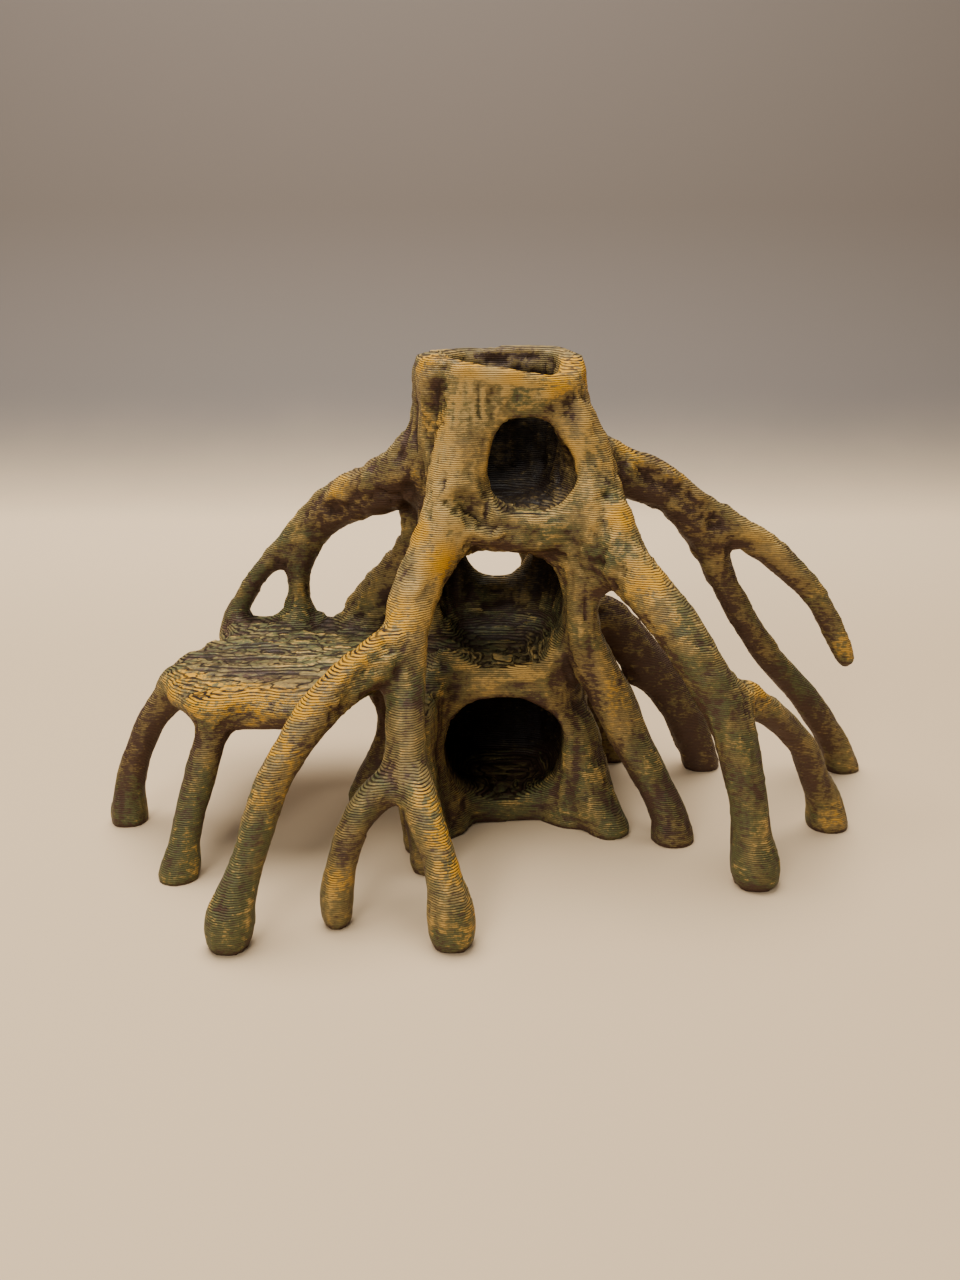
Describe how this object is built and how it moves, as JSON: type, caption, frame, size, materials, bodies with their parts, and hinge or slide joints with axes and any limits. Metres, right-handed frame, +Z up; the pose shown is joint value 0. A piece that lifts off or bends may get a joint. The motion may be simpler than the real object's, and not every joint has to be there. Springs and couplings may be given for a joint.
{
  "type": "mangrove root cave",
  "caption": "Tank decoration shaped like a hollow mangrove trunk on arching prop roots, with stacked caves, a side ledge and an open top.",
  "frame": {"origin": "centre of the bounding box's underside, on the floor that the feet stand on", "axes": "+X to the right as seen from the cave mouths, +Y to the back, +Z up along the trunk"},
  "size_m": [0.1504, 0.1046, 0.087],
  "materials": {
    "printed_root": "satin printed plastic in mottled ochre, olive and dark brown, with fine layer lines"
  },
  "bodies": {
    "root": {"mangrove_root_cave": "printed_root"}
  },
  "joints": []
}
